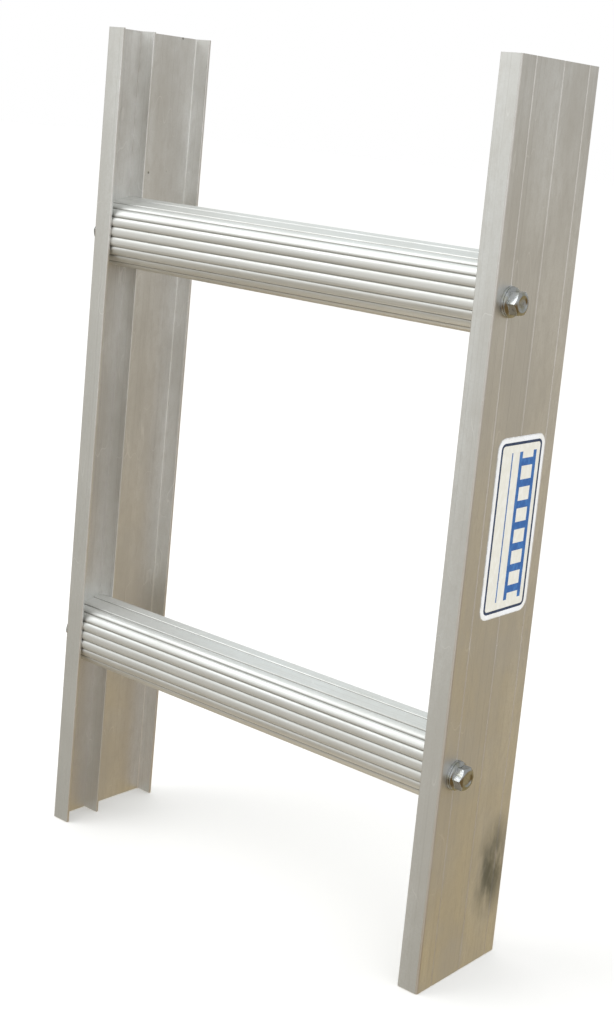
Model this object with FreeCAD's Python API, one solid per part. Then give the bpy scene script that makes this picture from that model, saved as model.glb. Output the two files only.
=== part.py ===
"""Short two-rung aluminium ladder section, bolted together.

Frame: X runs along the rungs, Y runs from the front of the rails (-Y) to their
back (+Y), Z runs up the rails. The origin is under the middle of the section,
on the surface that it stands on. All sizes are in millimetres.
"""
import FreeCAD, Part
import math
import os
from FreeCAD import Vector

# Driving dimensions of the whole section
SECTION_HEIGHT = 550.0
SECTION_WIDTH = 324.0
RUNG_PITCH = 280.0
LOWER_RUNG_HEIGHT = 135.0

# Rail extrusion: an E-shaped section that opens towards the other rail
RAIL_DEPTH = 82.0
FLANGE_REACH = 14.5
RAIL_WALL = 2.0
RUNG_CHANNEL_BACK = 27.5
OUTER_CORNER_RADIUS = 1.6
FLANGE_TIP_RADIUS = 0.7
BACK_CHANNEL_RADIUS = 1.2
GUIDE_LINE_DEPTHS = (14.5, 43.5, 71.0)
GUIDE_LINE_WIDTH = 1.1
GUIDE_LINE_SINK = 0.4

# Rung extrusion, seen from its end: depth from the rail front, height from the bolt axis
BOLT_AXIS_DEPTH = 14.5
TREAD_BACK_HEIGHT = 25.5
TREAD_SLOPE_DEG = 15.0
UNDERSIDE_HEIGHT = -21.5
NOSE_RADIUS = 13.0
BELLY_RADIUS = 18.0
RUNG_WALL = 2.6
REED_PITCH = 6.6
REED_COUNT = 9
REED_SINK = 0.9
REED_SHOULDER = 0.7
TREAD_LINE_OFFSET = 6.0
TREAD_LINE_WIDTH = 1.4
TREAD_LINE_SINK = 0.6

# Threaded insert that closes each rung end inside
INSERT_LENGTH = 30.0
INSERT_CLEARANCE = 0.05
INSERT_BORE = 8.1
INSERT_LEAD_IN = 0.8

# M8 flange bolts and their washers
BOLT_DIAMETER = 8.0
BOLT_LENGTH = 30.0
BOLT_TIP_CHAMFER = 0.9
HEAD_FLATS = 13.0
HEAD_HEIGHT = 7.8
HEAD_LAND_DIAMETER = 11.0
HEAD_CHAMFER_DEG = 30.0
HEAD_DISH_DIAMETER = 8.6
HEAD_DISH_DEPTH = 0.5
FLANGE_DIAMETER = 17.5
FLANGE_EDGE = 1.1
FLANGE_SLOPE_DEG = 25.0
WEB_HOLE = 9.0
PLAIN_WASHER_OUTER = 18.0
PLAIN_WASHER_INNER = 8.4
PLAIN_WASHER_THICKNESS = 1.6
EDGE_BREAK = 0.25

# Self-adhesive information label on the outside of the right rail
LABEL_LOW_EDGE = 227.0
LABEL_HIGH_EDGE = 336.0
LABEL_FRONT_EDGE = 21.0
LABEL_BACK_EDGE = 70.5
LABEL_THICKNESS = 0.25
LABEL_CORNER_RADIUS = 7.0

# Derived positions
RAIL_FRONT_Y = -RAIL_DEPTH / 2
WEB_OUTER_X = SECTION_WIDTH / 2
WEB_INNER_X = WEB_OUTER_X - RAIL_WALL
RUNG_LENGTH = 2 * WEB_INNER_X
BOLT_AXIS_Y = RAIL_FRONT_Y + BOLT_AXIS_DEPTH
RUNG_HEIGHTS = {
    "lower": LOWER_RUNG_HEIGHT,
    "upper": LOWER_RUNG_HEIGHT + RUNG_PITCH,
}
SIDES = {"left": -1, "right": 1}


def fillet_corner(before, corner, after, radius):
    """Return the two tangent points and the middle point of a rounded corner."""
    towards_before = (before - corner).normalize()
    towards_after = (after - corner).normalize()
    half_angle = towards_before.getAngle(towards_after) / 2
    reach = radius / math.tan(half_angle)
    bisector = (towards_before + towards_after).normalize()
    centre = corner + bisector * (radius / math.sin(half_angle))
    middle = centre - bisector * radius
    return corner + towards_before * reach, middle, corner + towards_after * reach


def rounded_edges(corners, closed=True):
    """Join corners given as (x, y, z, radius) with lines, rounding each by its radius."""
    points = [Vector(x, y, z) for x, y, z, _ in corners]
    radii = [radius for _, _, _, radius in corners]
    count = len(points)
    joints = []
    for index in range(count):
        is_end = not closed and index in (0, count - 1)
        if radii[index] == 0 or is_end:
            joints.append((points[index], None, points[index]))
        else:
            before = points[index - 1]
            after = points[(index + 1) % count]
            joints.append(fillet_corner(before, points[index], after, radii[index]))
    edges = []
    for index in range(count):
        start, middle, end = joints[index]
        if middle is not None:
            edges.append(Part.Arc(start, middle, end).toShape())
        is_last = index == count - 1
        if is_last and not closed:
            break
        next_start = joints[(index + 1) % count][0]
        if end.distanceToPoint(next_start) > 1e-6:
            edges.append(Part.LineSegment(end, next_start).toShape())
    return edges


def face_from_edges(edges):
    """Make a flat face from edges that follow each other in a closed loop."""
    return Part.Face(Part.Wire(edges))


def cylinder_along_x(diameter, start_x, length, y, z):
    """Make a round bar along X that starts at start_x."""
    return Part.makeCylinder(diameter / 2, length, Vector(start_x, y, z), Vector(1, 0, 0))


def mirrored_to_left(shape):
    """Return the mirror image of a right-hand shape in the middle plane."""
    return shape.mirror(Vector(0, 0, 0), Vector(1, 0, 0))


def on_side(right_shape, side):
    """Return the shape for one side, given the shape made for the right side."""
    if side == "right":
        return right_shape
    return mirrored_to_left(right_shape)


def rail_corners():
    """List the corners of the right rail's section as (x, y, z, radius)."""
    outer = WEB_OUTER_X
    inner = WEB_INNER_X
    tip = WEB_OUTER_X - FLANGE_REACH
    front = RAIL_FRONT_Y
    back = -RAIL_FRONT_Y
    channel_back = front + RUNG_CHANNEL_BACK
    corners = [(outer, front, 0, OUTER_CORNER_RADIUS)]
    for depth in GUIDE_LINE_DEPTHS:
        y = front + depth
        corners.append((outer, y - GUIDE_LINE_WIDTH / 2, 0, 0))
        corners.append((outer - GUIDE_LINE_SINK, y, 0, 0))
        corners.append((outer, y + GUIDE_LINE_WIDTH / 2, 0, 0))
    corners += [
        (outer, back, 0, OUTER_CORNER_RADIUS),
        (tip, back, 0, FLANGE_TIP_RADIUS),
        (tip, back - RAIL_WALL, 0, FLANGE_TIP_RADIUS),
        (inner, back - RAIL_WALL, 0, BACK_CHANNEL_RADIUS),
        (inner, channel_back + RAIL_WALL, 0, BACK_CHANNEL_RADIUS),
        (tip, channel_back + RAIL_WALL, 0, FLANGE_TIP_RADIUS),
        (tip, channel_back, 0, FLANGE_TIP_RADIUS),
        (inner, channel_back, 0, 0),
        (inner, front + RAIL_WALL, 0, 0),
        (tip, front + RAIL_WALL, 0, FLANGE_TIP_RADIUS),
        (tip, front, 0, FLANGE_TIP_RADIUS),
    ]
    return corners


def make_rail(side):
    """Extrude one rail and drill a bolt hole at each rung."""
    section = face_from_edges(rounded_edges(rail_corners()))
    rail = section.extrude(Vector(0, 0, SECTION_HEIGHT))
    for height in RUNG_HEIGHTS.values():
        drill = cylinder_along_x(WEB_HOLE, WEB_INNER_X - 1, RAIL_WALL + 2, BOLT_AXIS_Y, height)
        rail = rail.cut(drill)
    return on_side(rail, side)


def rung_outline_corners():
    """List the rung's plain outline, from the back of the tread round to the underside."""
    front = RAIL_WALL
    back = RUNG_CHANNEL_BACK
    nose_height = TREAD_BACK_HEIGHT - (back - front) * math.tan(math.radians(TREAD_SLOPE_DEG))
    return [
        (0, back, TREAD_BACK_HEIGHT, 0),
        (0, front, nose_height, NOSE_RADIUS),
        (0, front, UNDERSIDE_HEIGHT, BELLY_RADIUS),
        (0, back, UNDERSIDE_HEIGHT, 0),
    ]


class OutlinePath:
    """A chain of edges that is measured by the distance walked along it."""

    def __init__(self, edges):
        self.edges = edges

    def place(self, distance):
        """Return the point at a distance along the chain and the outward direction there."""
        remaining = distance
        for edge in self.edges:
            if remaining <= edge.Length:
                break
            remaining -= edge.Length
        parameter = edge.getParameterByLength(remaining)
        tangent = edge.tangentAt(parameter)
        outward = Vector(0, tangent.z, -tangent.y)
        return edge.valueAt(parameter), outward

    def sunk(self, distance, sink):
        """Return the point that lies below the chain by the given sink."""
        point, outward = self.place(distance)
        return point - outward * sink


def reeded_section():
    """Make the rung's outer face: a plain tread with one line, and reeds on the nose and belly."""
    plain_edges = rounded_edges(rung_outline_corners(), closed=False)
    path = OutlinePath(plain_edges)
    first_valley = plain_edges[0].Length
    last_valley = first_valley + REED_COUNT * REED_PITCH
    lead_points = [
        path.sunk(0, 0),
        path.sunk(TREAD_LINE_OFFSET - TREAD_LINE_WIDTH / 2, 0),
        path.sunk(TREAD_LINE_OFFSET, TREAD_LINE_SINK),
        path.sunk(TREAD_LINE_OFFSET + TREAD_LINE_WIDTH / 2, 0),
        path.sunk(first_valley - REED_SHOULDER, 0),
        path.sunk(first_valley, REED_SINK),
    ]
    edges = [Part.LineSegment(a, b).toShape() for a, b in zip(lead_points, lead_points[1:])]
    for reed in range(REED_COUNT):
        start = first_valley + reed * REED_PITCH
        valley = path.sunk(start, REED_SINK)
        crest = path.sunk(start + REED_PITCH / 2, 0)
        next_valley = path.sunk(start + REED_PITCH, REED_SINK)
        edges.append(Part.Arc(valley, crest, next_valley).toShape())
    end_points = [
        path.sunk(last_valley, REED_SINK),
        path.sunk(last_valley + REED_SHOULDER, 0),
        Vector(0, RUNG_CHANNEL_BACK, UNDERSIDE_HEIGHT),
        path.sunk(0, 0),
    ]
    edges += [Part.LineSegment(a, b).toShape() for a, b in zip(end_points, end_points[1:])]
    return face_from_edges(edges)


def inner_section(distance):
    """Make the face that lies the given distance inside the rung's plain outline."""
    outline = face_from_edges(rounded_edges(rung_outline_corners()))
    return outline.makeOffset2D(-distance)


def placed_section(face, start_x, height):
    """Move a rung section face from its own corner to its place in the ladder."""
    placed = face.copy()
    placed.translate(Vector(start_x, RAIL_FRONT_Y, height))
    return placed


def make_rung(height):
    """Extrude one hollow rung that reaches from web to web."""
    start_x = -WEB_INNER_X
    body = placed_section(reeded_section(), start_x, height)
    hollow = placed_section(inner_section(RUNG_WALL), start_x, height)
    length = Vector(RUNG_LENGTH, 0, 0)
    return body.extrude(length).cut(hollow.extrude(length))


def make_insert(side, height):
    """Fill one end of a rung with a block that carries the bolt thread."""
    start_x = WEB_INNER_X - INSERT_LENGTH
    block = placed_section(inner_section(RUNG_WALL + INSERT_CLEARANCE), start_x, height)
    insert = block.extrude(Vector(INSERT_LENGTH, 0, 0))
    bore = cylinder_along_x(INSERT_BORE, start_x - 1, INSERT_LENGTH + 2, BOLT_AXIS_Y, height)
    lead_in = Part.makeCone(
        INSERT_BORE / 2, INSERT_BORE / 2 + INSERT_LEAD_IN, INSERT_LEAD_IN,
        Vector(WEB_INNER_X - INSERT_LEAD_IN, BOLT_AXIS_Y, height), Vector(1, 0, 0))
    return on_side(insert.cut(bore).cut(lead_in), side)


def cone_height(start_diameter, end_diameter, slope_deg):
    """Return the height of a cone whose side leans by slope_deg from its base."""
    return (start_diameter - end_diameter) / 2 * math.tan(math.radians(slope_deg))


def cone_along_x(start_diameter, end_diameter, slope_deg, start_x, y, z):
    """Make a cone along X that starts at start_x and narrows from there."""
    height = cone_height(start_diameter, end_diameter, slope_deg)
    return Part.makeCone(
        start_diameter / 2, end_diameter / 2, height, Vector(start_x, y, z), Vector(1, 0, 0))


def hexagon_prism(flats, start_x, length, y, z):
    """Make a six-sided bar along X with one corner towards the front."""
    corner_radius = flats / math.sqrt(3)
    corners = []
    for step in range(6):
        angle = math.radians(60 * step)
        across = corner_radius * math.cos(angle)
        upwards = corner_radius * math.sin(angle)
        corners.append((start_x, y + across, z + upwards, 0))
    return face_from_edges(rounded_edges(corners)).extrude(Vector(length, 0, 0))


def make_head(seat_x, height):
    """Make the chamfered and dished hexagon of a bolt with the flange below it."""
    axis = (BOLT_AXIS_Y, height)
    corner_diameter = 2 * HEAD_FLATS / math.sqrt(3)
    straight = HEAD_HEIGHT - cone_height(corner_diameter, HEAD_LAND_DIAMETER, HEAD_CHAMFER_DEG)
    turned = cylinder_along_x(corner_diameter, seat_x, straight, *axis)
    crown = cone_along_x(
        corner_diameter, HEAD_LAND_DIAMETER, HEAD_CHAMFER_DEG, seat_x + straight, *axis)
    dish_x = seat_x + HEAD_HEIGHT - HEAD_DISH_DEPTH
    dish = cylinder_along_x(HEAD_DISH_DIAMETER, dish_x, HEAD_DISH_DEPTH, *axis)
    hexagon = hexagon_prism(HEAD_FLATS, seat_x, HEAD_HEIGHT, *axis)
    hexagon = hexagon.common(turned.fuse(crown)).cut(dish)
    flange = cylinder_along_x(FLANGE_DIAMETER, seat_x, FLANGE_EDGE, *axis)
    skirt = cone_along_x(
        FLANGE_DIAMETER, BOLT_DIAMETER, FLANGE_SLOPE_DEG, seat_x + FLANGE_EDGE, *axis)
    return hexagon.fuse([flange, skirt])


def make_bolt(side, height):
    """Make one flange bolt with a chamfered tip."""
    seat_x = WEB_OUTER_X + PLAIN_WASHER_THICKNESS
    tip_x = seat_x - BOLT_LENGTH
    shank = cylinder_along_x(BOLT_DIAMETER, tip_x, BOLT_LENGTH, BOLT_AXIS_Y, height)
    tip_edges = [edge for edge in shank.Edges if edge.BoundBox.XMax < tip_x + 0.01]
    shank = shank.makeChamfer(BOLT_TIP_CHAMFER, tip_edges)
    return on_side(make_head(seat_x, height).fuse(shank).removeSplitter(), side)


def make_ring(outer, inner, thickness, start_x, height):
    """Make a flat ring around a bolt axis."""
    disc = cylinder_along_x(outer, start_x, thickness, BOLT_AXIS_Y, height)
    return disc.cut(cylinder_along_x(inner, start_x - 1, thickness + 2, BOLT_AXIS_Y, height))


def make_plain_washer(side, height):
    """Make one flat washer that lies on the rail's web."""
    ring = make_ring(PLAIN_WASHER_OUTER, PLAIN_WASHER_INNER, PLAIN_WASHER_THICKNESS, WEB_OUTER_X, height)
    rim = [edge for edge in ring.Edges
           if len(edge.Vertexes) == 1
           and edge.BoundBox.YLength > PLAIN_WASHER_OUTER - 0.1
           and edge.BoundBox.XMin > WEB_OUTER_X + PLAIN_WASHER_THICKNESS / 2]
    return on_side(ring.makeChamfer(EDGE_BREAK, rim), side)


def make_label():
    """Make the thin rounded label on the right rail's web."""
    front = RAIL_FRONT_Y + LABEL_FRONT_EDGE
    back = RAIL_FRONT_Y + LABEL_BACK_EDGE
    radius = LABEL_CORNER_RADIUS
    corners = [
        (WEB_OUTER_X, front, LABEL_LOW_EDGE, radius),
        (WEB_OUTER_X, back, LABEL_LOW_EDGE, radius),
        (WEB_OUTER_X, back, LABEL_HIGH_EDGE, radius),
        (WEB_OUTER_X, front, LABEL_HIGH_EDGE, radius),
    ]
    return face_from_edges(rounded_edges(corners)).extrude(Vector(LABEL_THICKNESS, 0, 0))


def build_section():
    """Make every piece of the ladder section, by node name."""
    pieces = {f"{side}_rail": make_rail(side) for side in SIDES}
    for level, height in RUNG_HEIGHTS.items():
        pieces[f"{level}_rung"] = make_rung(height)
        for side in SIDES:
            place = f"{level}_{side}"
            pieces[f"{place}_rung_insert"] = make_insert(side, height)
            pieces[f"{place}_plain_washer"] = make_plain_washer(side, height)
            pieces[f"{place}_bolt"] = make_bolt(side, height)
    pieces["information_label"] = make_label()
    return pieces


def main():
    """Write one STEP file for each piece and report its size."""
    os.makedirs("parts", exist_ok=True)
    for name, shape in build_section().items():
        shape.exportStep(f"parts/{name}.step")
        solids = len(shape.Solids)
        print(f"{name}: {solids} solid, valid {shape.isValid()}, {shape.Volume / 1000:.2f} cm3")


main()
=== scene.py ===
"""Looks of a short two-rung aluminium ladder section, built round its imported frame.

X runs along the rungs, Y from the front of the rails (-Y) to their back (+Y), and Z up the rails.
The classes hold their sizes in millimetres, and MM turns them into the scene's metres. FINER_LAYERS is
how strong each finer layer of a soft pattern is, as a share of the layer before it.
"""

import logging
import math
from collections.abc import Sequence
from dataclasses import dataclass
from enum import Enum
from typing import Any, Protocol

import bmesh
import bpy
from mathutils import Euler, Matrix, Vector


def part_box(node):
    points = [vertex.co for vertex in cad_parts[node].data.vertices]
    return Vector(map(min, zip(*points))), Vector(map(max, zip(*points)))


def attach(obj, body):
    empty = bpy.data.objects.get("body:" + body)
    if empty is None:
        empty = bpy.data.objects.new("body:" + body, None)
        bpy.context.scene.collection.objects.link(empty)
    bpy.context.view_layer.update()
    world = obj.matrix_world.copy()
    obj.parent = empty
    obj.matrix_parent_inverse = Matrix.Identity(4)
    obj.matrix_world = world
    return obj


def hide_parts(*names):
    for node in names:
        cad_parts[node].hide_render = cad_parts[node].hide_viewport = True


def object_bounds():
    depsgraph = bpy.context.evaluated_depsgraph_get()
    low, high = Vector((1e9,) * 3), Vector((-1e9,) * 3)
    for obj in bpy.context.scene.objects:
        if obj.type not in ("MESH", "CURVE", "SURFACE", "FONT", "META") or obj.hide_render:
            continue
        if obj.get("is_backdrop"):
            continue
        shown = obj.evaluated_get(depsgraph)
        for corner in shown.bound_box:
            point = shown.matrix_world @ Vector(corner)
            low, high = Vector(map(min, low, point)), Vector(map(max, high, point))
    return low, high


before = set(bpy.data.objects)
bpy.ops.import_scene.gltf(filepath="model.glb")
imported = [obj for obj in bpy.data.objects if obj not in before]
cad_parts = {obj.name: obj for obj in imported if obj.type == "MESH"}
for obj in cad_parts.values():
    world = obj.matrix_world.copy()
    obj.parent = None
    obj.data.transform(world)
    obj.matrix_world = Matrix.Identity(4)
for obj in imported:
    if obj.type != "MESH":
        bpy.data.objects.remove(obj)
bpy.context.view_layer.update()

MM = 0.001
FINER_LAYERS = 0.55
LOG = logging.getLogger("ladder_section")

Ring = list[Vector]
Face = tuple[int, ...]
Colour = tuple[float, float, float, float]


class Side(Enum):
    """The two sides of the section, with the direction that points outwards."""

    LEFT = -1
    RIGHT = 1

    @property
    def word(self) -> str:
        """Returns the side as it is written in the names of pieces."""
        return self.name.lower()


class Level(Enum):
    """The two rungs."""

    LOWER = "lower"
    UPPER = "upper"


class DrawDirection(Enum):
    """The direction in which a profile left its die."""

    ALONG_X = (1.0, 0.0, 0.0)
    ALONG_Z = (0.0, 0.0, 1.0)

    def sizes(self, across: float, along: float) -> tuple[float, float, float]:
        """Returns a pattern's size on X, Y and Z from its size across and along the draw."""
        return tuple(along if axis else across for axis in self.value)


# ---------------------------------------------------------------- meshes


def loft(rings: Sequence[Ring], closed: bool = False) -> tuple[Ring, list[Face]]:
    """Joins rings of equal length with a skin of four-sided faces.

    Args:
        rings: The rings in order, each a closed loop of points.
        closed: Whether the last ring is joined to the first one. Open skins get a cap at each end.

    Returns:
        The points and the faces.
    """
    around = len(rings[0])
    points = [point for ring in rings for point in ring]
    faces: list[Face] = []
    steps = len(rings) if closed else len(rings) - 1
    for step in range(steps):
        here = step * around
        there = (step + 1) % len(rings) * around
        for index in range(around):
            following = (index + 1) % around
            faces.append((here + index, here + following, there + following, there + index))
    if not closed:
        last = (len(rings) - 1) * around
        faces.append(tuple(range(around)))
        faces.append(tuple(range(last, last + around)))
    return points, faces


def make_piece(name: str, points: Ring, faces: list[Face], crease_deg: float = 32.0) -> bpy.types.Object:
    """Makes one object of the section from points in millimetres.

    Args:
        name: The object's name.
        points: The mesh's points in the section's own frame.
        faces: The faces as indices of points.
        crease_deg: Edges that turn by more than this are shaded as sharp.

    Returns:
        The new object, which rides on the section's one body.
    """
    mesh = bpy.data.meshes.new(name)
    mesh.from_pydata([point * MM for point in points], [], faces)
    shape = bmesh.new()
    shape.from_mesh(mesh)
    bmesh.ops.recalc_face_normals(shape, faces=shape.faces)
    for face in shape.faces:
        face.smooth = True
    for edge in shape.edges:
        edge.smooth = edge.calc_face_angle(math.pi) < math.radians(crease_deg)
    shape.to_mesh(mesh)
    shape.free()
    piece = bpy.data.objects.new(name, mesh)
    bpy.context.scene.collection.objects.link(piece)
    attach(piece, "root")
    return piece


def mark_points(piece: bpy.types.Object, name: str, values: Sequence[float]) -> None:
    """Stores one number for each point of a piece's mesh, for its material to read."""
    attribute = piece.data.attributes.new(name, "FLOAT", "POINT")
    attribute.data.foreach_set("value", values)


def soften_edges(piece: bpy.types.Object, width: float, angle_deg: float, segments: int = 2) -> None:
    """Rounds a piece's sharp edges a little, as tumbling, plating or deburring leaves them.

    Args:
        piece: The object.
        width: The width of the rounding in millimetres.
        angle_deg: Edges that turn by less than this stay as they are.
        segments: How many faces make up the rounding.
    """
    bevel = piece.modifiers.new("edge_rounding", "BEVEL")
    bevel.width = width * MM
    bevel.segments = segments
    bevel.limit_method = "ANGLE"
    bevel.angle_limit = math.radians(angle_deg)
    bevel.use_clamp_overlap = True
    bevel.harden_normals = False


# ---------------------------------------------------------------- finishes


def linear(hex_colour: str) -> Colour:
    """Turns an sRGB colour into a linear one.

    Args:
        hex_colour: The colour as it is written in a style sheet, such as "#A0B0C0".

    Returns:
        Its red, green and blue as linear values, and a full alpha.
    """
    channels = []
    for start in (1, 3, 5):
        value = int(hex_colour[start:start + 2], 16) / 255
        channels.append(value / 12.92 if value <= 0.04045 else ((value + 0.055) / 1.055) ** 2.4)
    return (*channels, 1.0)


def add_node(
    tree: bpy.types.NodeTree,
    kind: str,
    settings: dict[str, Any] | None = None,
    inputs: dict[str | int, Any] | None = None,
) -> bpy.types.Node:
    """Adds one node with its settings and links.

    Args:
        tree: The node tree.
        kind: The node's type, such as "ShaderNodeMath".
        settings: Values by the name of the node's own property.
        inputs: What each input gets, by its name or number: another node's output or a plain value.

    Returns:
        The new node.
    """
    node = tree.nodes.new(kind)
    for name, value in (settings or {}).items():
        setattr(node, name, value)
    for name, value in (inputs or {}).items():
        if isinstance(value, bpy.types.NodeSocket):
            tree.links.new(value, node.inputs[name])
        else:
            node.inputs[name].default_value = value
    return node


class Surface:
    """One material while its layers are laid, from the clean stuff upwards."""

    def __init__(self, name: str, colour: str, roughness: float) -> None:
        """Starts a material that is the same all over.

        Args:
            name: The material's name.
            colour: Its colour where nothing lies on it, in sRGB.
            roughness: Its roughness there.
        """
        self.material = bpy.data.materials.new(name)
        self.material.use_nodes = True
        self.tree = self.material.node_tree
        self.tree.nodes.clear()
        self.position = add_node(self.tree, "ShaderNodeTexCoord").outputs["Object"]
        self.colour: Colour | bpy.types.NodeSocket = linear(colour)
        self.roughness: float | bpy.types.NodeSocket = roughness
        self.relief: float | bpy.types.NodeSocket = 0.0

    def pattern(
        self, size: Sequence[float], seed: float, detail: float = 2.0, scattered: bool = False,
    ) -> bpy.types.Node:
        """Adds a pattern whose grains or cells have a real size.

        Args:
            size: The size of a grain along X, Y and Z, in millimetres.
            seed: Moves the pattern, so that no two patterns of a finish fall together.
            detail: How many finer layers lie on top of the first. Cells have none.
            scattered: Makes cells, with their distances and random colours, in place of soft grains.

        Returns:
            The pattern's node.
        """
        placed = add_node(
            self.tree, "ShaderNodeMapping",
            inputs={"Vector": self.position, "Location": (seed, 2 * seed, 3 * seed),
                    "Scale": [1 / (length * MM) for length in size]}).outputs[0]
        if scattered:
            return add_node(self.tree, "ShaderNodeTexVoronoi", inputs={"Vector": placed, "Scale": 1.0})
        return add_node(
            self.tree, "ShaderNodeTexNoise",
            inputs={"Vector": placed, "Scale": 1.0, "Detail": detail, "Roughness": FINER_LAYERS})

    def lay(
        self,
        pattern: bpy.types.NodeSocket,
        shows: tuple[float, float],
        colour: str | None = None,
        cover: float = 1.0,
        roughness: float = 0.0,
        relief: float = 0.0,
        within: bpy.types.NodeSocket | float = 1.0,
    ) -> bpy.types.NodeSocket:
        """Lays one layer over the ones before it.

        Args:
            pattern: The value that says where the layer lies.
            shows: The pattern's value where the layer begins, and the one where it is full.
            colour: The layer's colour in sRGB. Without one the layer is clear.
            cover: How much of the colour below it hides where it is full.
            roughness: What it adds to the roughness where it is full.
            relief: How far it stands out where it is full, in millimetres.
            within: The share of a layer that this one keeps inside.

        Returns:
            The layer's share at each place, from 0 to 1.
        """
        whole = add_node(
            self.tree, "ShaderNodeMapRange", {"interpolation_type": "SMOOTHSTEP"},
            {"Value": pattern, "From Min": shows[0], "From Max": shows[1]}).outputs[0]
        share = add_node(self.tree, "ShaderNodeMath", {"operation": "MULTIPLY"}, {0: whole, 1: within})
        if colour:
            hiding = add_node(
                self.tree, "ShaderNodeMath", {"operation": "MULTIPLY"}, {0: share.outputs[0], 1: cover})
            self.colour = add_node(
                self.tree, "ShaderNodeMix", {"data_type": "RGBA"},
                {0: hiding.outputs[0], 6: self.colour, 7: linear(colour)}).outputs[2]
        if roughness:
            self.roughness = add_node(
                self.tree, "ShaderNodeMath", {"operation": "MULTIPLY_ADD"},
                {0: share.outputs[0], 1: roughness, 2: self.roughness}).outputs[0]
        if relief:
            self.relief = add_node(
                self.tree, "ShaderNodeMath", {"operation": "MULTIPLY_ADD"},
                {0: share.outputs[0], 1: relief, 2: self.relief}).outputs[0]
        return share.outputs[0]

    def finish(self, constants: dict[str, Any] | None = None) -> bpy.types.Material:
        """Feeds the shader.

        Args:
            constants: Values of the shader that are the same all over, by the name of the input.

        Returns:
            The finished material.
        """
        normal = add_node(
            self.tree, "ShaderNodeBump", inputs={"Height": self.relief, "Distance": MM}).outputs[0]
        shader = add_node(
            self.tree, "ShaderNodeBsdfPrincipled",
            inputs={"Base Color": self.colour, "Roughness": self.roughness, "Normal": normal,
                    **(constants or {})})
        add_node(self.tree, "ShaderNodeOutputMaterial", inputs={"Surface": shader.outputs[0]})
        return self.material


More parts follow.
